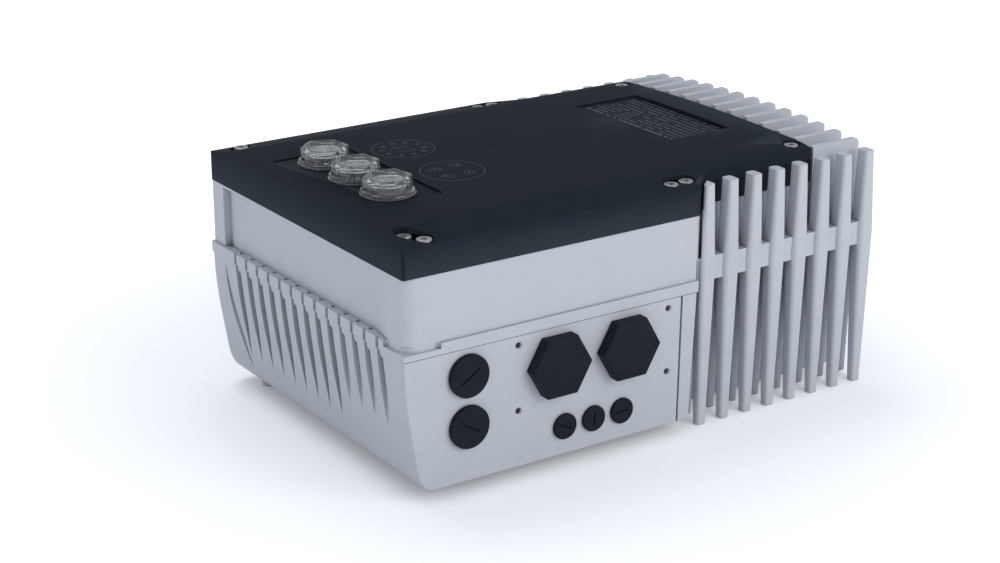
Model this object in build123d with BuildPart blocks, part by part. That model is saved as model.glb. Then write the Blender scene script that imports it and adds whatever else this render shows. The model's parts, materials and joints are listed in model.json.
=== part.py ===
from build123d import *
from math import cos, radians, sin
import os

os.makedirs("parts", exist_ok=True)

# A decentralised motor-drive inverter in a die-cast housing, standing on its feet.
# +X runs along the housing to the heat sink, +Z is up towards the cover, and the cable
# plugs are on the -Y side. The pieces are drawn about the housing's middle plane, Y = 0,
# and saved with the origin under the centre of the whole object, on the floor it stands on.

# ---- driving dimensions, mm ----
end_x = -231.8            # ribbed end of the cover
half_w = 152.5            # half the width of the cover
cover_edge_z = 205.2      # height of the cover's long edges
cover_skirt = 24.0        # height of the cover's side
cover_crown = 7.0         # rise of the cover's flat field over its long edges
cover_wall = 3.0
shoulder_w = 33.5         # width of the sloping margin along each long edge
wide_len = 274.5          # length of the full-width part
step_run = 24.4           # slanted step between full width and narrow part
narrow_half_w = 131.0
cover_len = 409.7
rim_z = 127.0             # joint between connection unit and inverter
rim_h = 9.2
base_floor_z = 8.4
base_half_w = 152.8
housing_half_w = 151.5
housing_z0, housing_z1 = rim_z + 0.3, cover_edge_z - 24.3
slab_z0, slab_z1 = 123.2, 143.2
slab_x0, slab_x1 = 277.5, 462.0
slab_half_w = 148.6
post_x0, post_pitch, post_count = 287.2, 24.3, 8
post_row_y = 145.0
row_pitch, row_count = 21.33, 13
post_top_z = 204.4
fit_gap = 0.05            # radial running clearance of every screwed plug
seat_gap = 0.3
hex_head_h = 10.0
centre_y = (base_half_w + seat_gap + hex_head_h - 153.8) / 2     # from the middle plane to the origin
lift = 2.6                # the posts and feet reach this far below the height 0 of the drawing


def at(x):
    """Distance from the ribbed end of the cover, as an X coordinate."""
    return end_x + x


def save(piece, name):
    """Move a finished piece to the shared origin, label it and write it to its own file."""
    placed = piece.moved(Location((0, centre_y, lift)))
    placed.label = name
    export_step(placed, f"parts/{name}.step")
    print(name, round(placed.volume, 1))


# ---- shared outlines ----
def tee_outline(inset):
    """Plan of the cover and of the inverter housing: wide, then a slanted step, then narrow."""
    w1 = half_w - inset
    w2 = narrow_half_w - inset
    x0, x1 = at(inset), at(wide_len - inset * 0.4)
    x2, x3 = at(wide_len + step_run - inset * 0.4), at(cover_len - inset)
    return [(x0, -w1), (x1, -w1), (x2, -w2), (x3, -w2), (x3, w2), (x2, w2), (x1, w1), (x0, w1)]


def roof_section(plane, drop, rise_mid, rise_side):
    """Cross-section of the crowned top at one end: two sloping margins and a field between them."""
    field = half_w - shoulder_w
    with BuildSketch(plane) as section:
        with BuildLine():
            top = cover_edge_z - drop
            Polyline((-field, top + rise_side), (-half_w, top), (-half_w, 100), (half_w, 100),
                     (half_w, top), (field, top + rise_side))
            ThreePointArc((field, top + rise_side), (0, top + rise_mid), (-field, top + rise_side))
        make_face()
    return section.sketch


def cover_block(inset, drop, z0):
    """Solid under the crowned top, from z0 up: the cover's outside, or its hollow when inset."""
    ends = Plane(origin=(at(-2), 0, 0), x_dir=(0, 1, 0), z_dir=(1, 0, 0))
    far = Plane(origin=(at(cover_len + 2), 0, 0), x_dir=(0, 1, 0), z_dir=(1, 0, 0))
    near_section = roof_section(ends, drop, cover_crown + 0.1, cover_crown)
    far_section = roof_section(far, drop, cover_crown + 2.2, cover_crown - 0.8)
    with BuildPart() as block:
        with BuildSketch(Plane.XY.offset(z0)):
            with BuildLine():
                Polyline(*tee_outline(inset), close=True)
            make_face()
        extrude(amount=60)
        fillet(block.edges().filter_by(Axis.Z), radius=2.5)
        loft([near_section, far_section], ruled=True, mode=Mode.INTERSECT)
    return block.part


# ---- cover ----
cap_x = 52.0
cap_ys = (50.5, 2.0, -46.5)
cap_field_z = cover_edge_z + cover_crown - 1.2      # floor of the shallow field the caps sit in
cap_hole_r = 16.0
near_pair = [(15.0, 129.5), (24.5, 143.0)]           # two screws at each corner of the ribbed end
mid_pair = [(272.0, 137.5), (257.0, 137.5)]          # two screws at each corner of the wide part
end_screw = (399.5, 116.5)
lid_screw_places = [near_pair[0], mid_pair[0], end_screw]
unit_screw_places = [near_pair[1], mid_pair[1]]
screw_head_r = 6.3                                    # the captive washer's radius
screw_pocket_w = 2 * (screw_head_r + 1.4)
screw_pocket_z = cover_edge_z - 2.5
end_pocket_z = cover_edge_z + 1.2                     # the end screws sit higher, in the flat field


def both_sides(places):
    """Plan points on the -Y side and mirrored on the +Y side."""
    return [(at(x), side * y) for x, y in places for side in (-1, 1)]


plate_x, plate_y, plate_l, plate_w = 350.0, 9.0, 65.5, 130.0
plate_z = cover_edge_z + cover_crown - 1.4           # floor of the recess for the rating plate
cover_z0 = cover_edge_z - cover_skirt

with BuildPart() as cover:
    add(cover_block(0, 0, cover_z0))
    add(cover_block(cover_wall, cover_wall, cover_z0 - 1), mode=Mode.SUBTRACT)
    with BuildSketch(Plane.XY.offset(cap_field_z)):
        with Locations((at(cap_x), 2)):
            RectangleRounded(70, 148, 3)
    extrude(amount=20, mode=Mode.SUBTRACT)
    with BuildSketch(Plane.XY.offset(cap_field_z - 3.2)):
        with Locations((at(cap_x), 2)):
            RectangleRounded(76, 154, 3)
    extrude(amount=3.2)
    with BuildSketch(Plane.XY.offset(cap_field_z - 7)):
        with Locations([(at(cap_x), y) for y in cap_ys]):
            Circle(cap_hole_r + 3)
    extrude(amount=7)
    with Locations([(at(cap_x), y, cap_field_z) for y in cap_ys]):
        Hole(radius=cap_hole_r, depth=12)
    with BuildSketch(Plane.XY.offset(plate_z)):
        with Locations((at(plate_x), plate_y)):
            RectangleRounded(plate_l, plate_w, 2)
    extrude(amount=10, mode=Mode.SUBTRACT)
    with BuildSketch(Plane.XY.offset(plate_z - 2.6)):
        with Locations((at(plate_x), plate_y)):
            RectangleRounded(plate_l + 5, plate_w + 5, 3)
    extrude(amount=2.6)
    with BuildSketch(Plane.XY.offset(cover_z0 + 1)):
        with Locations(both_sides(lid_screw_places + unit_screw_places)):
            Circle(screw_head_r + 2.1)
    extrude(until=Until.NEXT)
    with BuildSketch(Plane.XY.offset(screw_pocket_z)):
        for side in (-1, 1):
            with Locations((at(19.7), side * 136.2)):
                SlotCenterPoint((0, 0), (4.8, side * 6.8), screw_pocket_w)
            with Locations((at(264.5), side * 137.5)):
                SlotOverall(15 + screw_pocket_w, screw_pocket_w)
    extrude(amount=30, mode=Mode.SUBTRACT)
    with BuildSketch(Plane.XY.offset(end_pocket_z)):
        with Locations(both_sides([end_screw])):
            Circle(screw_pocket_w / 2)
    extrude(amount=30, mode=Mode.SUBTRACT)
    with Locations([(x, y, screw_pocket_z) for x, y in both_sides(lid_screw_places[:2])]):
        Hole(radius=3.3, depth=40)
    with Locations([(x, y, end_pocket_z) for x, y in both_sides([end_screw])]):
        Hole(radius=3.3, depth=40)
    with Locations([(x, y, screw_pocket_z) for x, y in both_sides(unit_screw_places)]):
        Hole(radius=screw_head_r + 0.4, depth=40)
save(cover.part, "cover")

def headed_screw(shank_r, shank_length):
    """A pan-head screw with a captive washer and a hexagonal recess, its seat at z = 0."""
    with BuildPart() as screw:
        with BuildSketch(Plane.XY):
            Circle(screw_head_r)
        extrude(amount=1.2)
        with BuildSketch(Plane.XY.offset(1.2)):
            Circle(screw_head_r - 0.8)
        extrude(amount=0.5)
        with BuildSketch(Plane.XY.offset(1.7)):
            Circle(screw_head_r - 0.2)
        extrude(amount=2.8)
        fillet(screw.faces().sort_by(Axis.Z)[-1].edges(), 0.8)
        with BuildSketch(Plane.XY):
            Circle(shank_r)
        extrude(amount=-shank_length)
        with BuildSketch(Plane.XY.offset(4.5)):
            RegularPolygon(2.8, 6)
        extrude(amount=-2.6, mode=Mode.SUBTRACT)
    return screw.part


with BuildPart() as cover_screws:
    with Locations([(x, y, screw_pocket_z) for x, y in both_sides(lid_screw_places[:2])]):
        add(headed_screw(2.5, 34))
    with Locations([(x, y, end_pocket_z) for x, y in both_sides([end_screw])]):
        add(headed_screw(2.5, 37))
save(cover_screws.part, "cover_screws")

with BuildPart() as rating_plate:
    with BuildSketch(Plane.XY.offset(plate_z)):
        with Locations((at(plate_x), plate_y)):
            RectangleRounded(plate_l - 1, plate_w - 1, 1.5)
    extrude(amount=0.3)
save(rating_plate.part, "rating_plate")

# ---- inverter housing: an open frame under the cover, with a floor over the connection unit ----
housing_wall = 5.0
housing_inset = 1.0
housing_end = at(wide_len - 0.4)
connector_x, connector_l, connector_w = 225.0, 40.0, 92.0
tower_top_z = screw_pocket_z - 0.2
recess_x = 6.2            # how far in the middle of the housing's end face is set back


def lower_box(inset):
    """Plan of the housing beside the heat sink's plate, where it has no narrow part."""
    w, x0, x1 = half_w - housing_inset - inset, at(housing_inset + inset), housing_end - inset
    return [(x0, -w), (x1, -w), (x1, w), (x0, w)]


with BuildPart() as inverter_housing:
    with BuildSketch(Plane.XY.offset(housing_z0)):
        with BuildLine():
            Polyline(*lower_box(0), close=True)
        make_face()
    extrude(amount=housing_z1 - housing_z0)
    with BuildSketch(Plane.XY.offset(slab_z1)):
        with BuildLine():
            Polyline(*tee_outline(housing_inset), close=True)
        make_face()
    extrude(amount=housing_z1 - slab_z1)
    corners = inverter_housing.edges().filter_by(Axis.Z).group_by(Axis.X)[0]
    fillet(corners.sort_by(Axis.Y)[0], radius=13)
    with BuildSketch(Plane.XY.offset(housing_z0 + housing_wall)):
        with BuildLine():
            Polyline(*lower_box(housing_wall), close=True)
        make_face()
    extrude(amount=80, mode=Mode.SUBTRACT)
    with BuildSketch(Plane.XY.offset(slab_z1)):
        with BuildLine():
            Polyline(*tee_outline(housing_inset + housing_wall), close=True)
        make_face()
    extrude(amount=80, mode=Mode.SUBTRACT)
    # thicker end wall, set back outside above the drained ledge
    with BuildSketch(Plane.XY.offset(housing_z0)):
        with Locations((at(7.6), 0)):
            Rectangle(5.2, 292)
    extrude(amount=housing_z1 - housing_z0)
    with BuildSketch(Plane.XY.offset(housing_z0)):
        with BuildLine():
            Polyline((at(-2), 129), (at(recess_x), 129), (at(recess_x), -104), (at(0.9), -132),
                     (at(-2), -132), close=True)
        make_face()
    extrude(amount=housing_z1 - housing_z0 - 2.4, mode=Mode.SUBTRACT)
    with BuildSketch(Plane.XY.offset(housing_z0)):
        with Locations(both_sides([near_pair[0]] + unit_screw_places)):
            Circle(8)
    extrude(amount=housing_z1 - housing_z0)
    with BuildSketch(Plane.XY.offset(slab_z1)):
        with Locations(both_sides([mid_pair[0], end_screw])):
            Circle(8)
    extrude(amount=housing_z1 - slab_z1)
    # towers that carry the long screws' heads up to the cover's top
    with BuildSketch(Plane.XY.offset(housing_z1 - 1)):
        with Locations(both_sides(unit_screw_places)):
            Circle(5.0)
    extrude(amount=tower_top_z - housing_z1 + 1)
    with Locations([(x, y, housing_z1) for x, y in both_sides(lid_screw_places)]):
        Hole(radius=2.55, depth=16)
    with Locations([(x, y, tower_top_z) for x, y in both_sides(unit_screw_places)]):
        Hole(radius=3.3, depth=120)
    with BuildSketch(Plane.XY.offset(housing_z0 - 1)):
        with Locations((at(connector_x), 0)):
            RectangleRounded(connector_l + 4, connector_w + 4, 3)
    extrude(amount=housing_wall + 2, mode=Mode.SUBTRACT)
    # upright groove near the +Y corner of the end face
    with BuildSketch(Plane.XY.offset(housing_z0)):
        with Locations((at(housing_inset), 130.4)):
            Rectangle(13.0, 5.4)
    extrude(amount=housing_z1 - housing_z0 - 2.4, mode=Mode.SUBTRACT)
save(inverter_housing.part, "inverter_housing")

with BuildPart() as cover_gasket:
    with BuildSketch(Plane.XY.offset(housing_z1)) as gasket_plan:
        with BuildLine():
            Polyline(*tee_outline(1.2), close=True)
        make_face()
        fillet(gasket_plan.vertices().group_by(Axis.X)[0], radius=12)
        offset(amount=-1.6, mode=Mode.SUBTRACT)
    extrude(amount=cover_z0 - housing_z1)
save(cover_gasket.part, "cover_gasket")

# ---- heat sink: a plate with posts along both sides, pins below and upright plates at the end ----
pin_bottom_z = 0.6
post_waist_z = 133.0


def tapered_bar(sections):
    """An upright bar lofted through rounded rectangles, each given as (z, x size, y size)."""
    with BuildPart() as bar:
        for below, above in zip(sections, sections[1:]):
            for z, size_x, size_y in (below, above):
                with BuildSketch(Plane.XY.offset(z)):
                    RectangleRounded(size_x, size_y, min(size_x, size_y) * 0.3)
            loft()
    return bar.part


post = tapered_bar([(-lift, 8.6, 7.8), (post_waist_z, 15.5, 14.5), (post_top_z, 9.2, 12.6)])
pin = tapered_bar([(pin_bottom_z, 6.5, 6.0), (slab_z0, 12.5, 12.0)])
row_ys = [(i - (row_count - 1) / 2) * row_pitch for i in range(row_count)]
column_xs = [at(post_x0 + i * post_pitch) for i in range(post_count)]

with BuildPart() as side_posts:
    with Locations([(x, side * post_row_y, 0) for x in column_xs for side in (-1, 1)]):
        add(post)
    # the cover and the housing stand inside this outline
    with BuildSketch(Plane.XY.offset(slab_z1)):
        with BuildLine():
            Polyline(*tee_outline(-1.6), close=True)
        make_face()
    extrude(amount=90, mode=Mode.SUBTRACT)
save(side_posts.part, "side_posts")

with BuildPart() as cooling_pins:
    with Locations([(x, y, 0) for x in column_xs for y in row_ys]):
        add(pin)
save(cooling_pins.part, "cooling_pins")

with BuildPart() as sink_plate:
    with BuildSketch(Plane.XY.offset(slab_z0)):
        with Locations((at((slab_x0 + slab_x1) / 2), 0)):
            RectangleRounded(slab_x1 - slab_x0, 2 * slab_half_w, 4)
    extrude(amount=slab_z1 - slab_z0)
    with Locations([(x, side * post_row_y, 0) for x in column_xs for side in (-1, 1)]):
        add(post, mode=Mode.SUBTRACT)
save(sink_plate.part, "sink_plate")

with BuildPart() as end_plates:
    for y in row_ys:
        crest = cover_edge_z + 2.6 + 8.9 * (1 - (y / 150) ** 2)
        with BuildSketch(Plane.XZ.offset(-y)):
            with BuildLine():
                Polyline((at(411.4), slab_z1), (at(461.5), slab_z1), (at(462.4), crest - 3.6),
                         (at(461.4), crest - 1.2), (at(458.8), crest), (at(411.4), crest), close=True)
            make_face()
        extrude(amount=2.9, both=True)
save(end_plates.part, "end_plates")

# ---- long screws that clamp the inverter to the connection unit ----
with BuildPart() as unit_screws:
    with Locations([(x, y, tower_top_z) for x, y in both_sides(unit_screw_places)]):
        add(headed_screw(3.0, tower_top_z - 112))
save(unit_screws.part, "unit_screws")

# ---- connection unit housing ----
panel = Plane(origin=(0, -base_half_w, 0), x_dir=(1, 0, 0), z_dir=(0, -1, 0))
end_wall = 24.0
side_wall = 8.0
foot_places = [(at(34.5), 127.0), (at(236.0), 127.0), (at(75.0), -105.0), (at(236.0), -105.0)]
motor_hole_places = [(at(x), y) for x in (62.0, 222.0) for y in (-95.0, 95.0)]
round_plugs = [(at(55.4), 95.7, 30.0), (at(55.4), 54.1, -30.0)]       # x, z, slot tilt
hex_plugs = [(at(136.8), 86.7), (at(203.3), 86.7)]
small_plugs = [(at(x), 32.7, tilt) for x, tilt in ((144.8, -27.0), (172.5, 85.0), (200.1, 6.0))]
panel_holes = [(at(x), z) for x in (102.2, 246.2) for z in (55.0, 109.0)]
hex_thread_r, round_thread_r, small_thread_r = 20.0, 12.5, 8.0

with BuildPart() as base_housing:
    with BuildSketch(Plane.XZ):
        with BuildLine():
            Spline((at(-0.4), 118), (at(2.4), 76), (at(8.4), 37), (at(12.0), 20.5), (at(16.5), 12.5),
                   (at(25), base_floor_z), tangents=((0, -1), (1, 0)))
            Polyline((at(25), base_floor_z), (at(267.4), base_floor_z), (at(269.2), base_floor_z + 1.8),
                     (at(274.6), rim_z), (at(-0.4), rim_z), (at(-0.4), 118))
        make_face()
    extrude(amount=base_half_w, both=True)
    ends = base_housing.edges().filter_by(lambda e: e.length > 60 and e.center().X < at(14))
    fillet(ends.filter_by(lambda e: abs(e.center().Y) > 150), radius=1.2)
    with BuildSketch(Plane.XY.offset(rim_z - rim_h)):
        with Locations((at(137.2), 0)):
            RectangleRounded(277.4, 307.6, 1.5)
    extrude(amount=rim_h)
    # groove below the rim, and the stop that sets how far the gasket is squeezed
    with BuildSketch(Plane.XY.offset(rim_z - rim_h - 0.9)):
        with Locations([(at(137), side * base_half_w) for side in (-1, 1)]):
            Rectangle(276, 1.6)
    extrude(amount=0.9, mode=Mode.SUBTRACT)
    with BuildSketch(Plane.XY.offset(rim_z)) as stop_plan:
        with BuildLine():
            Polyline(*lower_box(0.2), close=True)
        make_face()
        fillet(stop_plan.vertices().group_by(Axis.X)[0].sort_by(Axis.Y)[0], radius=12.8)
        with BuildLine():
            Polyline(*lower_box(1.5), close=True)
        make_face(mode=Mode.SUBTRACT)
        with Locations((at(0), 0)):
            Rectangle(24, 250, mode=Mode.SUBTRACT)
        with Locations((at(recess_x + 0.7), 10)):
            Rectangle(1.0, 230)
    extrude(amount=0.25)
    with BuildSketch(Plane.XY.offset(base_floor_z + 4.3)):
        with Locations((at((end_wall + 266) / 2), 0)):
            RectangleRounded(266 - end_wall, 2 * (base_half_w - side_wall), 8)
    extrude(amount=130, mode=Mode.SUBTRACT)
    # cooling slots down the ribbed end, deeper towards the +Y side
    for i in range(13):
        y0 = 113.5 - 18.95 * i
        depth = 17.0 if i < 9 else 5.5
        with BuildSketch(Plane(origin=(at(-4), 0, 0), x_dir=(0, 1, 0), z_dir=(1, 0, 0))):
            with BuildLine():
                Polyline((y0 - 5.9, 35.5), (y0 - 0.3, rim_z - 5), (y0 - 4.5, rim_z - 5), (y0 - 4.5, 114.5),
                         (y0 - 5.7, 113), (y0 - 8.9, 112))
                Spline((y0 - 8.9, 112), (y0 - 11, 95), (y0 - 11.4, 72), (y0 - 9.2, 54), (y0 - 5.9, 35.5))
            make_face()
        extrude(amount=4 + depth, mode=Mode.SUBTRACT)
    # the slots run out shallow through the ledge's edge, and drain holes stand behind them
    with BuildSketch(Plane.XY.offset(rim_z)):
        with Locations([(at(-0.7), 111.1 - 18.95 * i) for i in range(13)]):
            Rectangle(4.0, 4.3)
        with Locations([(at(3.9), 109.6 - 18.95 * i) for i in range(12)]):
            SlotOverall(4.6, 3.0, rotation=90)
    extrude(amount=-5.2, mode=Mode.SUBTRACT)
    # the ledge drops round the -X -Y corner, between two dimples
    with BuildSketch(Plane.XY.offset(rim_z - 4.5)):
        with Locations((at(13), -142.5)):
            Rectangle(34, 29)
        with Locations((at(31.2), -121.3)):
            RectangleRounded(60, 60, 13, mode=Mode.SUBTRACT)
        with Locations((at(-0.2), -127.6), (at(29.8), -152.4)):
            Circle(2.3)
    extrude(amount=10, mode=Mode.SUBTRACT)
    # shallow leaf-shaped hollow beside the first slot, along the leaning wall
    lean = radians(7.3)
    wall_face = Plane(origin=(at(0), 0, 114), x_dir=(0, 1, 0), z_dir=(cos(lean), 0, sin(lean)))
    with BuildSketch(wall_face.offset(-8)):
        with BuildLine():
            Spline((131.5, 0), (129.0, -36), (121.0, -66), (108.5, -92))
            Line((108.5, -92), (131.5, 0))
        make_face()
    extrude(amount=8 + 1.2, mode=Mode.SUBTRACT)
    # line between the side panel and the strip beside the heat sink
    for side in (-1, 1):
        with BuildSketch(Plane.XZ.offset(side * (base_half_w + 0.8))):
            with BuildLine():
                Polyline((at(258.3), rim_z - rim_h), (at(260.3), rim_z - rim_h), (at(258.4), base_floor_z),
                         (at(256.4), base_floor_z), close=True)
            make_face()
        extrude(amount=-side * 3.0, mode=Mode.SUBTRACT)
    with BuildSketch(Plane.XY.offset(-lift)):
        with Locations(foot_places):
            Circle(6.5)
    extrude(amount=lift + base_floor_z + 1)
    with BuildSketch(Plane.XY.offset(base_floor_z + 4)):
        with Locations([(x, y) for x, y in both_sides(unit_screw_places)]):
            Circle(7.5)
    extrude(amount=rim_z - base_floor_z - 4)
    with Locations([(x, y, rim_z) for x, y in both_sides(unit_screw_places)]):
        Hole(radius=3.05, depth=22)
    with BuildSketch(Plane.XY.offset(base_floor_z - 1)):
        with Locations(motor_hole_places):
            Circle(3.3)
        with Locations((at(142), 0)):
            RectangleRounded(96, 72, 10)
    extrude(amount=10, mode=Mode.SUBTRACT)
    # bosses and bores for the plugs
    with BuildSketch(panel.offset(-side_wall + 1)):
        with Locations([(x, z) for x, z in hex_plugs]):
            Circle(hex_thread_r + 5)
        with Locations([(x, z) for x, z, tilt in round_plugs]):
            Circle(round_thread_r + 4)
        with Locations([(x, z) for x, z, tilt in small_plugs]):
            Circle(small_thread_r + 3)
        with Locations(panel_holes):
            Circle(6)
    extrude(amount=-6)
    with BuildSketch(panel.offset(1)):
        with Locations([(x, z) for x, z in hex_plugs]):
            Circle(hex_thread_r)
        with Locations([(x, z) for x, z, tilt in round_plugs]):
            Circle(round_thread_r)
        with Locations([(x, z) for x, z, tilt in small_plugs]):
            Circle(small_thread_r)
    extrude(amount=-20, mode=Mode.SUBTRACT)
    with BuildSketch(panel):
        with Locations(panel_holes):
            Circle(2.5)
    extrude(amount=-10, mode=Mode.SUBTRACT)
    with BuildSketch(panel):
        with Locations(panel_holes):
            Circle(3.6)
    extrude(amount=-1.1, taper=44, mode=Mode.SUBTRACT)
    with Locations([(at(x), y, base_floor_z + 4.3) for x, y in ((140, -70), (140, 70), (165, -70), (165, 70))]):
        Hole(radius=1.7, depth=3)
save(base_housing.part, "base_housing")

with BuildPart() as base_gasket:
    with BuildSketch(Plane.XY.offset(rim_z)):
        with Locations((at(139.5), 0)):
            RectangleRounded(259, 292, 6)
            RectangleRounded(253, 286, 4, mode=Mode.SUBTRACT)
        with Locations(both_sides(unit_screw_places)):
            Circle(6.8)
            Circle(3.6, mode=Mode.SUBTRACT)
    extrude(amount=housing_z0 - rim_z)
save(base_gasket.part, "base_gasket")

# ---- screwed plugs of the -Y panel, each on its own sealing ring ----
def screw_plug(name, x, z, thread_r, head_r, head_h, hexagonal, tilt):
    """A plug with a slotted or hexagonal head, and the ring under its head."""
    with BuildPart() as plug:
        with BuildSketch(panel.offset(seat_gap)):
            with Locations((x, z)):
                if hexagonal:
                    RegularPolygon(head_r, 6, major_radius=False)
                else:
                    Circle(head_r)
        extrude(amount=head_h)
        front = plug.faces().sort_by(Axis.Y)[0].edges()
        chamfer(front, length=0.8 if hexagonal else 0.6)
        with BuildSketch(panel.offset(seat_gap)):
            with Locations((x, z)):
                Circle(thread_r + 2.7 if hexagonal else thread_r + 2.1)
        extrude(amount=1.7, mode=Mode.SUBTRACT)
        with BuildSketch(panel.offset(seat_gap + 1.7)):
            with Locations((x, z)):
                Circle(thread_r - fit_gap)
        extrude(amount=-(seat_gap + 1.7 + 12))
        if not hexagonal:
            with BuildSketch(panel.offset(seat_gap + head_h)):
                with Locations(Location((x, z), tilt)):
                    SlotOverall(head_r * 1.1, head_r * 0.12)
            extrude(amount=-1.6, mode=Mode.SUBTRACT)
    with BuildPart() as ring:
        with BuildSketch(panel):
            with Locations((x, z)):
                Circle(thread_r + 2.3 if hexagonal else thread_r + 1.8)
                Circle(thread_r + 0.35, mode=Mode.SUBTRACT)
        extrude(amount=seat_gap + 1.7)
    save(plug.part, name)
    save(ring.part, name + "_ring")


for number, (x, z) in enumerate(hex_plugs, start=1):
    screw_plug(f"hex_plug_{number}", x, z, hex_thread_r, 24.1, hex_head_h, True, 0)
for number, (x, z, tilt) in enumerate(round_plugs, start=1):
    screw_plug(f"round_plug_{number}", x, z, round_thread_r, 17.4, 4.0, False, tilt)
for number, (x, z, tilt) in enumerate(small_plugs, start=1):
    screw_plug(f"small_plug_{number}", x, z, small_thread_r, 10.7, 2.7, False, tilt)

# ---- clear inspection caps over the controls ----
cap_flange_r, cap_top_z = 22.2, cover_edge_z + 21.0
for number, y in enumerate(cap_ys, start=1):
    with BuildPart() as cap:
        with BuildSketch(Plane.XY.offset(cap_field_z + seat_gap)):
            with Locations((at(cap_x), y)):
                Circle(cap_flange_r)
        extrude(amount=5.0)
        fillet(cap.faces().sort_by(Axis.Z)[-1].edges(), radius=1.0)
        with BuildSketch(Plane.XY.offset(cap_field_z + seat_gap + 4)):
            with Locations(Location((at(cap_x), y), -20)):
                RegularPolygon(17.25, 6, major_radius=False)
        extrude(amount=cap_top_z - cap_field_z - seat_gap - 4)
        chamfer(cap.faces().sort_by(Axis.Z)[-1].edges(), length=0.8)
        with BuildSketch(Plane.XY.offset(cap_field_z + seat_gap)):
            with Locations((at(cap_x), y)):
                Circle(cap_hole_r + 2.6)
        extrude(amount=1.8, mode=Mode.SUBTRACT)
        with BuildSketch(Plane.XY.offset(cap_field_z + seat_gap + 1.8)):
            with Locations((at(cap_x), y)):
                Circle(cap_hole_r - fit_gap)
        extrude(amount=-(seat_gap + 1.8 + 6.5))
        with Locations((at(cap_x), y, cap_top_z + 32.5)):
            Sphere(radius=35.0, mode=Mode.SUBTRACT)
    with BuildPart() as ring:
        with BuildSketch(Plane.XY.offset(cap_field_z)):
            with Locations((at(cap_x), y)):
                Circle(cap_hole_r + 2.3)
                Circle(cap_hole_r + 0.35, mode=Mode.SUBTRACT)
        extrude(amount=seat_gap + 1.8)
    save(cap.part, f"cap_{number}")
    save(ring.part, f"cap_{number}_ring")

# ---- electronics on the inverter side ----
board_t = 1.6
power_board_z = 152.0
control_board_z = 183.0
spacer_power = [(at(x), y) for x in (36.0, 205.0) for y in (-95.0, 95.0)]
spacer_control = [(at(x), y) for x in (30.0, 88.0) for y in (-88.0, 88.0)]
floor_z = housing_z0 + housing_wall

with BuildPart() as power_board:
    with BuildSketch(Plane.XY.offset(power_board_z)):
        with Locations((at(120), 0)):
            RectangleRounded(205, 232, 5)
        with Locations((at(308), 0)):
            Rectangle(184, 150)
        with Locations(spacer_power + spacer_control):
            Circle(1.7, mode=Mode.SUBTRACT)
    extrude(amount=board_t)
save(power_board.part, "power_board")

with BuildPart() as control_board:
    with BuildSketch(Plane.XY.offset(control_board_z)):
        with Locations((at(59), 0)):
            RectangleRounded(78, 196, 4)
        with Locations(spacer_control):
            Circle(1.7, mode=Mode.SUBTRACT)
    extrude(amount=board_t)
save(control_board.part, "control_board")


def hex_spacers(places, z0, z1):
    """Hexagonal spacers with a clear bore, standing between two boards or on a floor."""
    with BuildPart() as group:
        with BuildSketch(Plane.XY.offset(z0)):
            with Locations(places):
                RegularPolygon(3.2, 6)
            with Locations(places):
                Circle(1.45, mode=Mode.SUBTRACT)
        extrude(amount=z1 - z0)
    return group.part


def pan_screws(places, z, length):
    """Small screws with a round head on top of a board."""
    with BuildPart() as group:
        with BuildSketch(Plane.XY.offset(z)):
            with Locations(places):
                Circle(2.8)
        extrude(amount=2)
        with BuildSketch(Plane.XY.offset(z)):
            with Locations(places):
                Circle(1.4)
        extrude(amount=-length)
        with BuildSketch(Plane.XY.offset(z + 2)):
            with Locations(places):
                RegularPolygon(1.2, 6)
        extrude(amount=-1, mode=Mode.SUBTRACT)
    return group.part


save(hex_spacers(spacer_power + spacer_control, floor_z, power_board_z), "power_spacers")
save(hex_spacers(spacer_control, power_board_z + board_t, control_board_z), "control_spacers")
save(pan_screws(spacer_power, power_board_z + board_t, 8), "power_board_screws")
save(pan_screws(spacer_control, control_board_z + board_t, 8), "control_board_screws")

with BuildPart() as power_module:
    with BuildSketch(Plane.XY.offset(slab_z1)):
        with Locations((at(351), 0)):
            RectangleRounded(62, 108, 3)
        with Locations([(at(x), y) for x in (330.0, 372.0) for y in (-40.0, 40.0)]):
            Circle(2.3, mode=Mode.SUBTRACT)
    extrude(amount=power_board_z - slab_z1)
save(power_module.part, "power_module")

with BuildPart() as capacitors:
    for x in (138.0, 176.0, 214.0):
        for y in (-62.0, -22.0, 22.0, 62.0):
            with BuildSketch(Plane.XY.offset(power_board_z + board_t)):
                with Locations((at(x), y)):
                    Circle(15)
            extrude(amount=40)
            fillet(capacitors.edges().filter_by(GeomType.CIRCLE).group_by(Axis.Z)[-1], radius=1.2)
            with Locations((at(x), y, power_board_z + board_t + 4.5)):
                Torus(15.6, 1.2, mode=Mode.SUBTRACT)
save(capacitors.part, "capacitors")

with BuildPart() as choke_core:
    with BuildSketch(Plane.XY.offset(power_board_z + board_t)):
        with Locations((at(350), 0)):
            Rectangle(52, 60)
            with Locations((-13.5, 0), (13.5, 0)):
                Rectangle(13, 38, mode=Mode.SUBTRACT)
    extrude(amount=34)
save(choke_core.part, "choke_core")

with BuildPart() as choke_coil:
    with BuildSketch(Plane.XY.offset(power_board_z + board_t + 2)):
        with Locations((at(350), 0)):
            RectangleRounded(37, 37, 3)
            Rectangle(14.4, 60, mode=Mode.SUBTRACT)
    extrude(amount=30)
save(choke_coil.part, "choke_coil")

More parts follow.
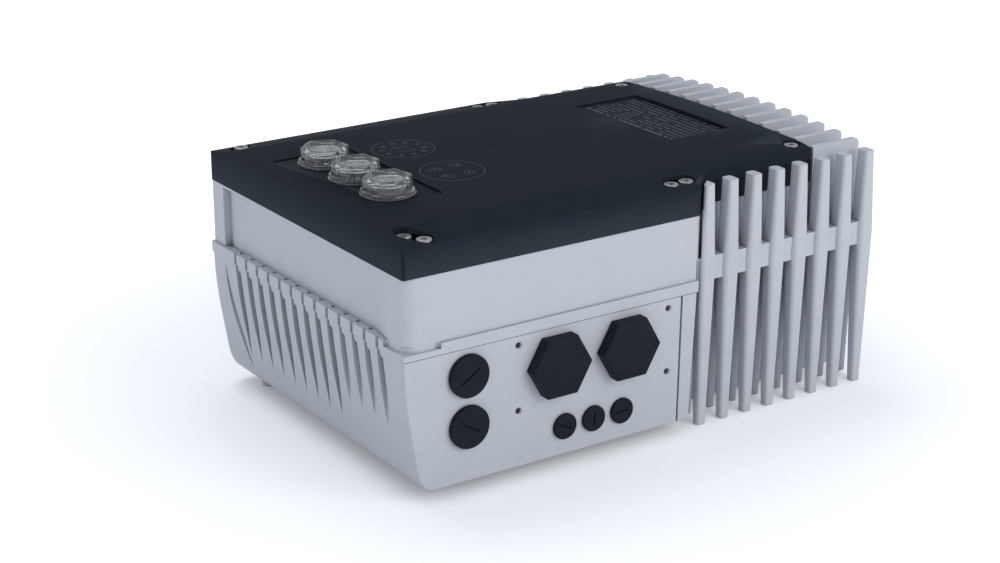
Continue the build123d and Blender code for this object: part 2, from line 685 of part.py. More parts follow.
plug_pin_places = [(x, y) for x in (-8.0, 8.0) for y in (-34.0, -17.0, 0.0, 17.0, 34.0)]
with BuildPart() as inverter_connector:
    with BuildSketch(Plane.XY.offset(housing_z0 - 1.5)):
        with Locations((at(connector_x), 0)):
            RectangleRounded(connector_l, connector_w, 2)
    extrude(amount=power_board_z - housing_z0 + 1.5)
    with BuildSketch(Plane.XY.offset(housing_z0 - 1.5)):
        with Locations((at(connector_x), 0)):
            with Locations(plug_pin_places):
                Circle(2.2)
    extrude(amount=-14)
save(inverter_connector.part, "inverter_connector")

with BuildPart() as base_connector:
    with BuildSketch(Plane.XY.offset(base_floor_z + 4.3)):
        with Locations((at(connector_x), 0)):
            RectangleRounded(connector_l - 2, connector_w - 2, 2)
    extrude(amount=housing_z0 - 3 - base_floor_z - 4.3)
    with BuildSketch(Plane.XY.offset(housing_z0 - 3)):
        with Locations((at(connector_x), 0)):
            with Locations(plug_pin_places):
                Circle(2.7)
    extrude(amount=-16, mode=Mode.SUBTRACT)
save(base_connector.part, "base_connector")

# ---- terminals in the connection unit ----
terminal_ys = [-66.0 + 12.0 * i for i in range(12)]
with BuildPart() as terminal_strip:
    with BuildSketch(Plane.XY.offset(base_floor_z + 4.3)):
        with Locations((at(72), 0)):
            Rectangle(24, 148)
    extrude(amount=30)
    for y in terminal_ys:
        with BuildSketch(Plane.XY.offset(base_floor_z + 34.3)):
            with Locations((at(67), y)):
                Circle(3.2)
        extrude(amount=-9, mode=Mode.SUBTRACT)
        with BuildSketch(Plane(origin=(at(84.5), 0, 0), x_dir=(0, 1, 0), z_dir=(1, 0, 0))):
            with Locations((y, base_floor_z + 14)):
                RectangleRounded(8, 10, 1)
        extrude(amount=-9, mode=Mode.SUBTRACT)
save(terminal_strip.part, "terminal_strip")

with BuildPart() as terminal_screws:
    for y in terminal_ys:
        with BuildSketch(Plane.XY.offset(base_floor_z + 25.3)):
            with Locations((at(67), y)):
                Circle(2.9)
        extrude(amount=6)
        with BuildSketch(Plane.XY.offset(base_floor_z + 31.3)):
            with Locations((at(67), y)):
                Rectangle(5, 0.9)
        extrude(amount=-1.5, mode=Mode.SUBTRACT)
save(terminal_screws.part, "terminal_screws")

# ---- controls under the clear caps ----
control_top_z = control_board_z + board_t
for number, dx in enumerate((-5.5, 5.5), start=1):
    with BuildPart() as body:
        with BuildSketch(Plane.XY.offset(control_top_z)):
            with Locations((at(cap_x) + dx, cap_ys[0])):
                Rectangle(9.5, 10.5)
        extrude(amount=5)
        with BuildSketch(Plane.XY.offset(control_top_z + 5)):
            with Locations((at(cap_x) + dx, cap_ys[0])):
                Circle(2.55)
        extrude(amount=-3, mode=Mode.SUBTRACT)
    with BuildPart() as knob:
        with BuildSketch(Plane.XY.offset(control_top_z + 2)):
            with Locations((at(cap_x) + dx, cap_ys[0])):
                Circle(2.5)
        extrude(amount=3.5)
        with BuildSketch(Plane.XY.offset(control_top_z + 5.5)):
            with Locations((at(cap_x) + dx, cap_ys[0])):
                Circle(4.2)
        extrude(amount=3)
        with BuildSketch(Plane.XY.offset(control_top_z + 8.5)):
            with Locations((at(cap_x) + dx, cap_ys[0])):
                Rectangle(6.4, 1.2)
        extrude(amount=-1.4, mode=Mode.SUBTRACT)
    save(body.part, f"trimmer_{number}_body")
    save(knob.part, f"trimmer_{number}_knob")

lever_xs = [at(cap_x) - 4.5 + 3.0 * i for i in range(4)]
with BuildPart() as dip_body:
    with BuildSketch(Plane.XY.offset(control_top_z)):
        with Locations((at(cap_x), cap_ys[1])):
            Rectangle(14, 9)
    extrude(amount=6)
    with BuildSketch(Plane.XY.offset(control_top_z + 6)):
        with Locations([(x, cap_ys[1]) for x in lever_xs]):
            Rectangle(1.5, 5.2)
    extrude(amount=-3, mode=Mode.SUBTRACT)
save(dip_body.part, "dip_switch_body")
for number, x in enumerate(lever_xs, start=1):
    with BuildPart() as lever:
        with BuildSketch(Plane.XY.offset(control_top_z + 3.05)):
            with Locations((x, cap_ys[1] - 1.4)):
                Rectangle(1.3, 2.2)
        extrude(amount=4.2)
    save(lever.part, f"dip_lever_{number}")

with BuildPart() as diagnostic_socket:
    with BuildSketch(Plane.XY.offset(control_top_z)):
        with Locations((at(cap_x), cap_ys[2])):
            Rectangle(14, 14)
    extrude(amount=10)
    with BuildSketch(Plane.XY.offset(control_top_z + 10)):
        with Locations((at(cap_x), cap_ys[2])):
            Rectangle(10, 7)
            with Locations((0, 4.5)):
                Rectangle(4, 3)
    extrude(amount=-8.5, mode=Mode.SUBTRACT)
save(diagnostic_socket.part, "diagnostic_socket")
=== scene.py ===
import json
import math
import random

import bmesh
import bpy
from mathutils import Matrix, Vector
from mathutils.bvhtree import BVHTree


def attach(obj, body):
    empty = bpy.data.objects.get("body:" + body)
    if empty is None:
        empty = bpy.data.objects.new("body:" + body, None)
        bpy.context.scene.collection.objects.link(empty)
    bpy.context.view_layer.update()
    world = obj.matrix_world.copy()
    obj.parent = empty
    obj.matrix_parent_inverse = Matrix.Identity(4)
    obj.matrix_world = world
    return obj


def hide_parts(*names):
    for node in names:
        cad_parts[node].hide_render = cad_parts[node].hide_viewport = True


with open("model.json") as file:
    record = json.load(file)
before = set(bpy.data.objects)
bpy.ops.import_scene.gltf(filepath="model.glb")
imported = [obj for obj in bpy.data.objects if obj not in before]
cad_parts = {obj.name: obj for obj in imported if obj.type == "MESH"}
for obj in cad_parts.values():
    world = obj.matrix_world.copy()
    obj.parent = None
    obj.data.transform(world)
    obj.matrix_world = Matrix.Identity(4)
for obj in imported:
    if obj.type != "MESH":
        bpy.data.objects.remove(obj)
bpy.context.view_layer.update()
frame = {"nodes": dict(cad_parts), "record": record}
nodes = frame["nodes"]
MM = 0.001
SIDE = 4.65                      # from the housing's middle plane to the origin, along Y, in mm
END = -231.8                     # the cover's end above the slotted wall
EDGE_Z = 205.2                   # height of the cover's long edges
LIFT = 2.6                       # how far the drawing's height 0 is above the floor
CAP_FIELD_Z = EDGE_Z + 5.8       # the shallow field that the clear caps sit in
CAP_X = 52.0
CAP_YS = (50.5, 2.0, -46.5)
CAMERA_AT = (-1.0054, -1.42325, 0.7217)
CAMERA_AIM = (0.5252, 0.7803, -0.3394)
CAMERA_LENS = 78.8               # on a 36 mm wide sensor
SKY_STRENGTH = 0.52              # the sky as a light; the camera itself sees plain white


def place(x, y, z):
    """A point given from the cover's end and middle plane, in mm, as a position in metres."""
    return Vector(((x + END) * MM, (y + SIDE) * MM, (z + LIFT) * MM))


# ---------------------------------------------------------------- camera and light
def look(obj, direction):
    obj.rotation_mode = "QUATERNION"
    obj.rotation_quaternion = Vector(direction).to_track_quat("-Z", "Y")


camera_data = bpy.data.cameras.new("camera")
camera = bpy.data.objects.new("camera", camera_data)
bpy.context.scene.collection.objects.link(camera)
bpy.context.scene.camera = camera
camera_data.lens = CAMERA_LENS
camera_data.sensor_width = 36.0
camera_data.clip_start = 0.05
camera_data.clip_end = 60.0
camera.location = CAMERA_AT
look(camera, CAMERA_AIM)

scene = bpy.context.scene
scene.view_settings.view_transform = "Standard"
scene.view_settings.look = "None"

world = bpy.data.worlds.new("studio")
scene.world = world
world.use_nodes = True
world_nodes = world.node_tree.nodes
world_links = world.node_tree.links
world_nodes.clear()


def backdrop(strength):
    node = world_nodes.new("ShaderNodeBackground")
    node.inputs["Strength"].default_value = strength
    return node


sky_output = world_nodes.new("ShaderNodeOutputWorld")
sky_mix = world_nodes.new("ShaderNodeMixShader")
sky_path = world_nodes.new("ShaderNodeLightPath")
seen = backdrop(1.0)
seen.inputs["Color"].default_value = (1, 1, 1, 1)
lighting = backdrop(SKY_STRENGTH)
sky_coords = world_nodes.new("ShaderNodeTexCoord")
sky_split = world_nodes.new("ShaderNodeSeparateXYZ")
sky_ramp = world_nodes.new("ShaderNodeValToRGB")
sky_ramp.color_ramp.elements[0].position = 0.0
sky_ramp.color_ramp.elements[0].color = (1.25, 1.28, 1.32, 1)
sky_ramp.color_ramp.elements[1].position = 0.75
sky_ramp.color_ramp.elements[1].color = (0.70, 0.75, 0.82, 1)
world_links.new(sky_coords.outputs["Generated"], sky_split.inputs[0])
world_links.new(sky_split.outputs["Z"], sky_ramp.inputs["Fac"])
world_links.new(sky_ramp.outputs[0], lighting.inputs["Color"])
world_links.new(sky_path.outputs["Is Camera Ray"], sky_mix.inputs["Fac"])
world_links.new(lighting.outputs[0], sky_mix.inputs[1])
world_links.new(seen.outputs[0], sky_mix.inputs[2])
world_links.new(sky_mix.outputs[0], sky_output.inputs["Surface"])


def area_light(name, location, target, size, power, colour=(1, 1, 1)):
    data = bpy.data.lights.new(name, "AREA")
    data.shape = "RECTANGLE"
    data.size, data.size_y = size
    data.energy = power
    data.color = colour
    light = bpy.data.objects.new(name, data)
    bpy.context.scene.collection.objects.link(light)
    light.location = location
    look(light, Vector(target) - Vector(location))


area_light("key", (0.9, -2.4, 1.5), (0.0, 0.0, 0.1), (2.0, 1.2), 25, (1.0, 0.99, 0.98))
area_light("overhead", (-0.2, 0.9, 2.4), (0.0, 0.0, 0.0), (1.6, 1.0), 13, (0.97, 0.99, 1.0))


# ---------------------------------------------------------------- materials
def new_material(name):
    mat = bpy.data.materials.new(name)
    mat.use_nodes = True
    tree = mat.node_tree
    shader = tree.nodes["Principled BSDF"]
    coords = tree.nodes.new("ShaderNodeTexCoord")
    return mat, tree, shader, coords


def noise(tree, coords, scale, detail=3.0, rough=0.55, stretch=None):
    tex = tree.nodes.new("ShaderNodeTexNoise")
    tex.inputs["Scale"].default_value = scale
    tex.inputs["Detail"].default_value = detail
    tex.inputs["Roughness"].default_value = rough
    if stretch:
        mapping = tree.nodes.new("ShaderNodeMapping")
        mapping.inputs["Scale"].default_value = stretch
        tree.links.new(coords.outputs["Object"], mapping.inputs["Vector"])
        tree.links.new(mapping.outputs[0], tex.inputs["Vector"])
    else:
        tree.links.new(coords.outputs["Object"], tex.inputs["Vector"])
    return tex


def ramp(tree, source, stops):
    node = tree.nodes.new("ShaderNodeValToRGB")
    tree.links.new(source, node.inputs["Fac"])
    elements = node.color_ramp.elements
    while len(elements) < len(stops):
        elements.new(0.5)
    for element, (pos, colour) in zip(elements, stops):
        element.position = pos
        element.color = (*colour, 1)
    return node


def map_range(tree, source, before=(0.0, 1.0), after=(0.0, 1.0)):
    """The source's values, stretched from one span to another."""
    node = tree.nodes.new("ShaderNodeMapRange")
    node.inputs["From Min"].default_value, node.inputs["From Max"].default_value = before
    node.inputs["To Min"].default_value, node.inputs["To Max"].default_value = after
    tree.links.new(source, node.inputs["Value"])
    return node.outputs[0]


def roughness_from(tree, shader, source, low, high):
    tree.links.new(map_range(tree, source, after=(low, high)), shader.inputs["Roughness"])


def bump(tree, shader, parts):
    """Chains bump nodes: parts are (height output, strength, distance in metres)."""
    last = None
    for height, strength, distance in parts:
        node = tree.nodes.new("ShaderNodeBump")
        node.inputs["Strength"].default_value = strength
        node.inputs["Distance"].default_value = distance
        tree.links.new(height, node.inputs["Height"])
        if last:
            tree.links.new(last.outputs[0], node.inputs["Normal"])
        last = node
    tree.links.new(last.outputs[0], shader.inputs["Normal"])


EDGE_HIGHLIGHT_SPAN = (0.52, 0.60)          # pointiness where the painted edge highlight starts and is full
BOXED_IN = (0.05, 0.52)           # share of open sky where the painted shade is full and where it ends


def painted_edge_highlight(tree, base, highlight_tone):
    """Mixes a lighter tone into the base colour along convex edges: a painted highlight."""
    geometry = tree.nodes.new("ShaderNodeNewGeometry")
    edge = map_range(tree, geometry.outputs["Pointiness"], before=EDGE_HIGHLIGHT_SPAN)
    mix = tree.nodes.new("ShaderNodeMix")
    mix.data_type = "RGBA"
    mix.inputs["B"].default_value = (*highlight_tone, 1)
    tree.links.new(edge, mix.inputs["Factor"])
    tree.links.new(base, mix.inputs["A"])
    return mix.outputs["Result"]


def painted_crevice_shade(tree, base, reach, dark):
    """Darkens the base colour where the surface is closely boxed in: painted shade in slots and holes.
    """
    hidden = tree.nodes.new("ShaderNodeAmbientOcclusion")
    hidden.inputs["Distance"].default_value = reach
    hidden.samples = 8
    shade = map_range(tree, hidden.outputs["AO"], before=BOXED_IN, after=(dark, 1.0))
    mix = tree.nodes.new("ShaderNodeMix")
    mix.data_type = "RGBA"
    mix.blend_type = "MULTIPLY"
    mix.inputs["Factor"].default_value = 1.0
    tree.links.new(base, mix.inputs["A"])
    tree.links.new(shade, mix.inputs["B"])
    return mix.outputs["Result"]


def mottled(name, low, high, rough, metallic=0.0, spec=0.5, coarse=60, fine=900, grain=0.00006,
            rough_spread=0.06, highlight_tone=None, crevice_shading=None):
    """A moulded, cast or painted surface: broad tone drift, fine grain, uneven roughness."""
    mat, tree, shader, coords = new_material(name)
    shader.inputs["Metallic"].default_value = metallic
    shader.inputs["Specular IOR Level"].default_value = spec
    broad = noise(tree, coords, coarse, 4.0)
    tone = ramp(tree, broad.outputs["Fac"], [(0.3, low), (0.7, high)])
    colour = tone.outputs[0]
    # painted highlight: the colour is lighter along convex edges
    if highlight_tone:
        colour = painted_edge_highlight(tree, colour, highlight_tone)
    # painted shade: the colour is darker where the surface is closely boxed in
    if crevice_shading:
        colour = painted_crevice_shade(tree, colour, *crevice_shading)
    tree.links.new(colour, shader.inputs["Base Color"])
    small = noise(tree, coords, fine, 2.0)
    roughness_from(tree, shader, small.outputs["Fac"], rough - rough_spread, rough + rough_spread)
    bump(tree, shader, [(small.outputs["Fac"], 0.35, grain), (broad.outputs["Fac"], 0.12, 0.0002)])
    return mat


# the cast metal gets painted shade in its slots and holes
cast = mottled("cast_aluminium", (0.535, 0.560, 0.605), (0.560, 0.585, 0.632), 0.50, 0.05, 0.30,
               coarse=35, fine=1300, grain=0.00005, crevice_shading=(0.018, 0.34))
# the cover paint gets a painted highlight along its convex edges
paint = mottled("cover_paint", (0.0140, 0.0195, 0.0275), (0.0162, 0.0222, 0.0308), 0.62, 0.0, 0.03,
                coarse=45, fine=1500, grain=0.00006, highlight_tone=(0.032, 0.041, 0.052))
nylon = mottled("plug_plastic", (0.0115, 0.0160, 0.0215), (0.0150, 0.0200, 0.0265), 0.50, 0.0, 0.07,
                coarse=90, fine=1600, grain=0.00004)
rubber = mottled("gasket_rubber", (0.012, 0.012, 0.013), (0.02, 0.02, 0.021), 0.75, 0.0, 0.25)
film = mottled("plate_film", (0.0165, 0.0225, 0.0310), (0.0190, 0.0250, 0.0340), 0.55, 0.0, 0.03,
               coarse=120, fine=2200, grain=0.00002)
print_grey = mottled("print_grey", (0.070, 0.078, 0.086), (0.085, 0.093, 0.102), 0.6, 0.0, 0.2,
                     coarse=400, grain=0.00001)
plate_print = mottled("plate_print", (0.105, 0.110, 0.115), (0.135, 0.140, 0.145), 0.6, 0.0, 0.2,
                      coarse=400, grain=0.00001)
grey_plastic = mottled("terminal_grey", (0.30, 0.32, 0.33), (0.36, 0.38, 0.39), 0.5)
black_plastic = mottled("module_plastic", (0.02, 0.02, 0.022), (0.03, 0.03, 0.032), 0.5)
sleeve = mottled("capacitor_sleeve", (0.010, 0.014, 0.03), (0.016, 0.022, 0.045), 0.3)
white_plastic = mottled("white_plastic", (0.72, 0.72, 0.70), (0.80, 0.80, 0.78), 0.45)
blue_plastic = mottled("trimmer_blue", (0.02, 0.07, 0.24), (0.03, 0.09, 0.30), 0.35)
red_plastic = mottled("dip_red", (0.28, 0.02, 0.02), (0.36, 0.03, 0.025), 0.4)


def metal(name, low, high, rough, stretch=None, scale=700):
    mat, tree, shader, coords = new_material(name)
    shader.inputs["Metallic"].default_value = 1.0
    tex = noise(tree, coords, scale, 5.0, 0.6, stretch)
    tone = ramp(tree, tex.outputs["Fac"], [(0.25, low), (0.75, high)])
    tree.links.new(tone.outputs[0], shader.inputs["Base Color"])
    roughness_from(tree, shader, tex.outputs["Fac"], rough * 0.8, rough * 1.3)
    bump(tree, shader, [(tex.outputs["Fac"], 0.25, 0.00004)])
    return mat


steel = metal("screw_steel", (0.36, 0.37, 0.38), (0.50, 0.51, 0.52), 0.42)
brass = metal("brass_metal", (0.55, 0.40, 0.18), (0.68, 0.52, 0.26), 0.3)
core = metal("core_steel", (0.20, 0.20, 0.21), (0.34, 0.34, 0.35), 0.45, (1, 1, 60), 60)
copper = metal("copper_coil", (0.50, 0.20, 0.07), (0.72, 0.34, 0.14), 0.35, (1, 1, 40), 120)


def board_material():
    mat, tree, shader, coords = new_material("board_green")
    tracks = tree.nodes.new("ShaderNodeTexBrick")
    tracks.inputs["Scale"].default_value = 170
    tracks.inputs["Mortar Size"].default_value = 0.03
    tracks.inputs["Color1"].default_value = (0.010, 0.075, 0.030, 1)
    tracks.inputs["Color2"].default_value = (0.014, 0.095, 0.038, 1)
    tracks.inputs["Mortar"].default_value = (0.020, 0.150, 0.060, 1)
    tree.links.new(coords.outputs["Object"], tracks.inputs["Vector"])
    tree.links.new(tracks.outputs["Color"], shader.inputs["Base Color"])
    shader.inputs["Roughness"].default_value = 0.32
    bump(tree, shader, [(tracks.outputs["Fac"], 0.3, 0.00005)])
    return mat


board = board_material()


def clear_material():
    mat, tree, shader, coords = new_material("clear_plastic")
    haze = noise(tree, coords, 500, 3.0)
    tone = ramp(tree, haze.outputs["Fac"], [(0.3, (0.86, 0.88, 0.89)), (0.7, (0.90, 0.92, 0.93))])
    tree.links.new(tone.outputs[0], shader.inputs["Base Color"])
    shader.inputs["Transmission Weight"].default_value = 0.93
    shader.inputs["IOR"].default_value = 1.52
    roughness_from(tree, shader, haze.outputs["Fac"], 0.02, 0.06)
    return mat


clear = clear_material()

slot_material = {
    "cast_aluminium": cast, "cover_paint": paint, "gasket_rubber": rubber, "screw_steel": steel,
    "clear_plastic": clear, "plug_plastic": nylon, "plate_film": film, "board_green": board,
    "brass_metal": brass, "module_plastic": black_plastic, "capacitor_sleeve": sleeve,
    "core_steel": core, "copper_coil": copper, "terminal_grey": grey_plastic,
    "white_plastic": white_plastic, "trimmer_blue": blue_plastic, "dip_red": red_plastic,
}
node_slot = {s["node"]: s["material_slot"] for s in frame["record"]["subparts"]}
node_body = {n: b for b, members in frame["record"]["behaviour"]["bodies"].items() for n in members}

for name, obj in nodes.items():
    obj.data.materials.clear()
    obj.data.materials.append(slot_material[node_slot[name]])


# ---------------------------------------------------------------- finer pieces
def link(name, mesh, material):
    obj = bpy.data.objects.new(name, mesh)
    bpy.context.scene.collection.objects.link(obj)
    obj.data.materials.clear()
    obj.data.materials.append(material)
    return obj


def soften(obj, width, segments=2, angle=28):
    """Rounds every hard edge a little and keeps the large faces flat."""
    mod = obj.modifiers.new("edges", "BEVEL")
    mod.width = width * MM
    mod.segments = segments
    mod.limit_method = "ANGLE"
    mod.angle_limit = math.radians(angle)
    mod.use_clamp_overlap = True
    mod.miter_outer = "MITER_ARC"
    weighted = obj.modifiers.new("normals", "WEIGHTED_NORMAL")
    weighted.keep_sharp = True
    for poly in obj.data.polygons:
        poly.use_smooth = True


WELD = 0.000004                   # vertices nearer than this, in metres, are one
FLAT = 0.15                       # faces that meet at less than this, in degrees, are one
LONG_FOLD = 0.02                  # a crisp fold is longer than this, in metres


def refined(node, width, segments=2, angle=28, crease=None):
    """A copy of a CAD piece with clean faces and rounded edges, which stands for it.

    With a crease angle, long folds above it stay crisp.
    """
    mesh = nodes[node].data.copy()
    mesh.name = node + "_fine"
    bm = bmesh.new()
    bm.from_mesh(mesh)
    bmesh.ops.remove_doubles(bm, verts=bm.verts, dist=WELD)
    bmesh.ops.dissolve_limit(bm, angle_limit=math.radians(FLAT), verts=bm.verts, edges=bm.edges)
    if crease:
        for edge in bm.edges:
            fold = math.degrees(edge.calc_face_angle(0))
            if edge.calc_length() > LONG_FOLD and crease < fold < angle:
                edge.smooth = False
    bm.to_mesh(mesh)
    bm.free()
    if mesh.has_custom_normals:
        mesh.attributes.remove(mesh.attributes["custom_normal"])
    obj = link(node + "_fine", mesh, slot_material[node_slot[node]])
    soften(obj, width, segments, angle)
    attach(obj, node_body[node])
    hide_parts(node)


refined("cover", 0.8, 3, crease=6)
refined("inverter_housing", 0.5)
refined("base_housing", 0.5)
for name in ("side_posts", "cooling_pins", "sink_plate"):
    refined(name, 0.9, 3)
refined("end_plates", 0.45, 3)
for i in (1, 2):
    refined(f"hex_plug_{i}", 0.6, 3)
    refined(f"round_plug_{i}", 0.5)
for i in (1, 2, 3):
    refined(f"small_plug_{i}", 0.3)
refined("cover_screws", 0.25)
refined("unit_screws", 0.25)
refined("rating_plate", 0.1)


# ---------------------------------------------------------------- clear caps
HEX_TURN = math.radians(-20)
CAP_SIDES = 120                   # points around, with one on each corner of the hexagon
CLIPPED_CORNER = 1.125            # the hexagon's corner radius over its apothem
CRISP_EDGE = 24                   # edges sharper than this, in degrees, stay crisp


def hexagon_radius(angle, apothem, corner):
    """Distance from the centre to a hexagon's outline with clipped corners."""
    within = (angle - HEX_TURN) % math.radians(60) - math.radians(30)
    return min(apothem / math.cos(within), corner)


CAP_PROFILE = [
    # (radius, height above the field, hexagonal), from the inside of the thread to the dished top
    (0.0, 9.6, False), (9.0, 9.5, False), (12.0, 9.1, False), (13.0, 8.0, False), (13.3, 3.0, False),
    (13.3, -5.8, False), (15.4, -5.8, False), (15.7, -5.4, False), (15.7, 0.3, False),
    (18.6, 0.3, False), (21.3, 0.3, False), (21.9, 0.5, False), (22.2, 1.0, False), (22.1, 1.5, False),
    (21.6, 1.9, False), (21.3, 2.2, False), (21.5, 2.6, False), (21.6, 3.1, False), (21.3, 3.7, False),
    (20.7, 4.1, False), (20.2, 4.2, False), (17.4, 4.4, True), (17.3, 4.8, True), (17.3, 13.7, True),
    (17.1, 14.3, True), (16.5, 14.8, True), (15.9, 15.1, False), (15.3, 15.0, False),
    (14.8, 14.4, False), (14.0, 13.6, False), (12.5, 12.9, False), (9.0, 12.2, False),
    (4.5, 11.8, False), (0.0, 11.7, False),
]


def cap_mesh(name, centre):
    mesh = bpy.data.meshes.new(name)
    bm = bmesh.new()
    rings = []
    for radius, height, hexagonal in CAP_PROFILE:
        if radius == 0.0:
            rings.append([bm.verts.new(centre + Vector((0, 0, height * MM)))])
            continue
        ring = []
        for k in range(CAP_SIDES):
            angle = HEX_TURN + k * 2 * math.pi / CAP_SIDES
            reach = hexagon_radius(angle, radius, radius * CLIPPED_CORNER) if hexagonal else radius
            ring.append(bm.verts.new(centre + Vector((reach * MM * math.cos(angle),
                                                      reach * MM * math.sin(angle), height * MM))))
        rings.append(ring)
    for inner, outer in zip(rings, rings[1:]):
        for k in range(CAP_SIDES):
            j = (k + 1) % CAP_SIDES
            if len(inner) == 1:
                bm.faces.new((inner[0], outer[k], outer[j]))
            elif len(outer) == 1:
                bm.faces.new((outer[0], inner[j], inner[k]))
            else:
                bm.faces.new((inner[k], outer[k], outer[j], inner[j]))
    bmesh.ops.recalc_face_normals(bm, faces=bm.faces)
    for face in bm.faces:
        face.smooth = True
    for edge in bm.edges:
        if edge.calc_face_angle(0) > math.radians(CRISP_EDGE):
            edge.smooth = False
    bm.to_mesh(mesh)
    bm.free()
    return mesh


for i, y in enumerate(CAP_YS, start=1):
    cap = link(f"clear_cap_{i}", cap_mesh(f"clear_cap_{i}", place(CAP_X, y, CAP_FIELD_Z)), clear)
    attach(cap, f"cap_{i}")
    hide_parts(f"cap_{i}")

# ---------------------------------------------------------------- printed marks
dice = random.Random(11)
PRINT_H = 0.06 * MM               # how far the print stands out


def surface_tree(node):
    mesh = nodes[node].data
    return BVHTree.FromPolygons([v.co for v in mesh.vertices], [p.vertices for p in mesh.polygons])


def surface_point(tree, x, y):
    """The point of a surface under (x, y), seen from above."""
    return tree.ray_cast(place(x, y, EDGE_Z + 60), Vector((0, 0, -1)))[0]


class Print:
    """Thin raised marks laid on a surface, gathered into one mesh."""

    def __init__(self, tree):
        self.tree = tree
        self.bm = bmesh.new()

    def patch(self, corners):
        """One closed thin slab over a four-cornered outline."""
        low = [surface_point(self.tree, x, y) for x, y in corners]
        if any(point is None for point in low):
            return
        below = [self.bm.verts.new(point - Vector((0, 0, PRINT_H / 3))) for point in low]
        above = [self.bm.verts.new(point + Vector((0, 0, PRINT_H))) for point in low]
        self.bm.faces.new(above)
        self.bm.faces.new(below[::-1])
        for k in range(4):
            j = (k + 1) % 4
            self.bm.faces.new((below[k], below[j], above[j], above[k]))

    def line(self, start, end, width):
        run = Vector(end) - Vector(start)
        across = Vector((-run.y, run.x)).normalized() * width / 2
        a, b = Vector(start), Vector(end)
        self.patch([a - across, b - across, b + across, a + across])

    def ring(self, centre, radius, width, start=0.0, sweep=360.0):
        steps = max(6, round(sweep / 6))
        for k in range(steps):
            angles = [math.radians(start + sweep * (k + t) / steps) for t in (0, 1)]
            corners = [(centre[0] + r * math.cos(a), centre[1] + r * math.sin(a))
                       for a, r in ((angles[0], radius - width / 2), (angles[0], radius + width / 2),
                                    (angles[1], radius + width / 2), (angles[1], radius - width / 2))]
            self.patch(corners)

    def spoke(self, centre, inner, outer, angle, width):
        c, s = math.cos(math.radians(angle)), math.sin(math.radians(angle))
        self.line((centre[0] + inner * c, centre[1] + inner * s),
                  (centre[0] + outer * c, centre[1] + outer * s), width)

    def finish(self, name, material):
        mesh = bpy.data.meshes.new(name)
        bmesh.ops.recalc_face_normals(self.bm, faces=self.bm.faces)
        self.bm.to_mesh(mesh)
        self.bm.free()
        obj = link(name, mesh, material)
        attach(obj, "cover")


# two printed circles: one with ten double ticks, one with four small symbols
DIAL_1 = (123.0, 46.0)
DIAL_2 = (123.0, -28.0)
DIAL_R = 26.0
dials = Print(surface_tree("cover"))
for centre in (DIAL_1, DIAL_2):
    dials.ring(centre, DIAL_R, 0.55)
for k in range(10):
    angle = 18 + 36 * k
    for shift in (-3.4, 3.4):
        dials.spoke(DIAL_1, 15.5, 20.5, angle + shift, 0.9)
dials.ring(DIAL_1, 9.5, 0.45, 20, 140)
dials.ring(DIAL_1, 9.5, 0.45, 200, 140)
for k in range(4):
    dials.spoke(DIAL_1, 3.0, 7.0, 45 + 90 * k, 0.7)
for k in range(4):
    angle = math.radians(45 + 90 * k)
    spot = (DIAL_2[0] + 13.5 * math.cos(angle), DIAL_2[1] + 13.5 * math.sin(angle))
    dials.ring(spot, 4.2, 0.5)
    dials.spoke(spot, 0.0, 3.0, 80 * k, 1.4)
    dials.ring(spot, 6.4, 0.4, 30 + 60 * k, 110)
dials.finish("printed_dials", print_grey)

# rows of short unlettered dashes, where the plate carries fine print
PLATE_X, PLATE_Y, PLATE_L, PLATE_W = 350.0, 9.0, 65.5, 130.0
ROW_COUNT = 11
DASH_CHANCE = 0.84
rows = Print(surface_tree("rating_plate"))
for row in range(ROW_COUNT):
    x = PLATE_X + PLATE_L * ((row + 0.6) / ROW_COUNT - 0.5)
    width = 2.6 if row in (0, 1) else 1.5
    y = PLATE_Y - PLATE_W / 2 + dice.uniform(3, 8)
    row_end = PLATE_Y + PLATE_W / 2 - dice.uniform(2, 14)
    while y < row_end:
        length = dice.uniform(1.2, 4.5)
        if dice.random() < DASH_CHANCE:
            rows.line((x, y), (x, min(y + length, row_end)), width * dice.uniform(0.6, 1.0))
        y += length + dice.uniform(0.5, 1.3)
rows.finish("plate_rows", plate_print)

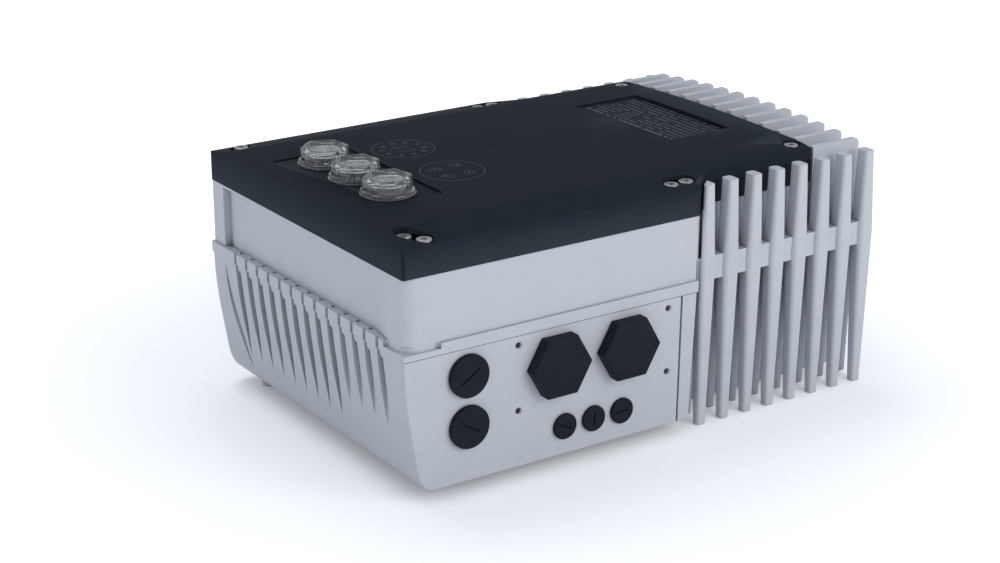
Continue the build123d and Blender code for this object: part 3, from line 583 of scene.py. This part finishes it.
# ---------------------------------------------------------------- floor
FLOOR = 30                        # half the floor's side, in metres
GLOW_SPAN = (0.28, 0.80)          # the floor gets paler between these distances from the middle
GLOW = (0.10, 0.50)
DIRECT_GLOW = 0.24                # added only where the floor is looked at directly
CONTACT_REACH = 0.035             # metres around the part in which the floor is shaded
CONTACT_SPAN = (0.15, 0.75)
CONTACT_DARKEST = 0.40
floor_mesh = bpy.data.meshes.new("floor")
floor_mesh.from_pydata([(-FLOOR, -FLOOR, 0), (FLOOR, -FLOOR, 0), (FLOOR, FLOOR, 0), (-FLOOR, FLOOR, 0)],
                       [], [(0, 1, 2, 3)])
floor_mat, tree, shader, coords = new_material("floor")
drift = noise(tree, coords, 1.5, 2.0)
tone = ramp(tree, drift.outputs["Fac"], [(0.0, (0.84, 0.865, 0.90)), (1.0, (0.87, 0.89, 0.92))])
tree.links.new(tone.outputs[0], shader.inputs["Base Color"])
shader.inputs["Roughness"].default_value = 0.6
shader.inputs["Specular IOR Level"].default_value = 0.1
shader.inputs["Emission Color"].default_value = (1.0, 1.0, 1.0, 1)
distance = tree.nodes.new("ShaderNodeVectorMath")
distance.operation = "LENGTH"
glow = map_range(tree, distance.outputs["Value"], GLOW_SPAN, GLOW)
seen_directly = tree.nodes.new("ShaderNodeLightPath")
lift = tree.nodes.new("ShaderNodeMath")
lift.operation = "MULTIPLY_ADD"
lift.inputs[1].default_value = DIRECT_GLOW
open_sky = tree.nodes.new("ShaderNodeAmbientOcclusion")
open_sky.inputs["Distance"].default_value = CONTACT_REACH
contact = map_range(tree, open_sky.outputs["AO"], CONTACT_SPAN, (CONTACT_DARKEST, 1.0))
shaded = tree.nodes.new("ShaderNodeMath")
shaded.operation = "MULTIPLY"
tree.links.new(coords.outputs["Object"], distance.inputs[0])
tree.links.new(seen_directly.outputs["Is Camera Ray"], lift.inputs[0])
tree.links.new(glow, lift.inputs[2])
tree.links.new(lift.outputs[0], shaded.inputs[0])
tree.links.new(contact, shaded.inputs[1])
tree.links.new(shaded.outputs[0], shader.inputs["Emission Strength"])
floor = link("floor", floor_mesh, floor_mat)
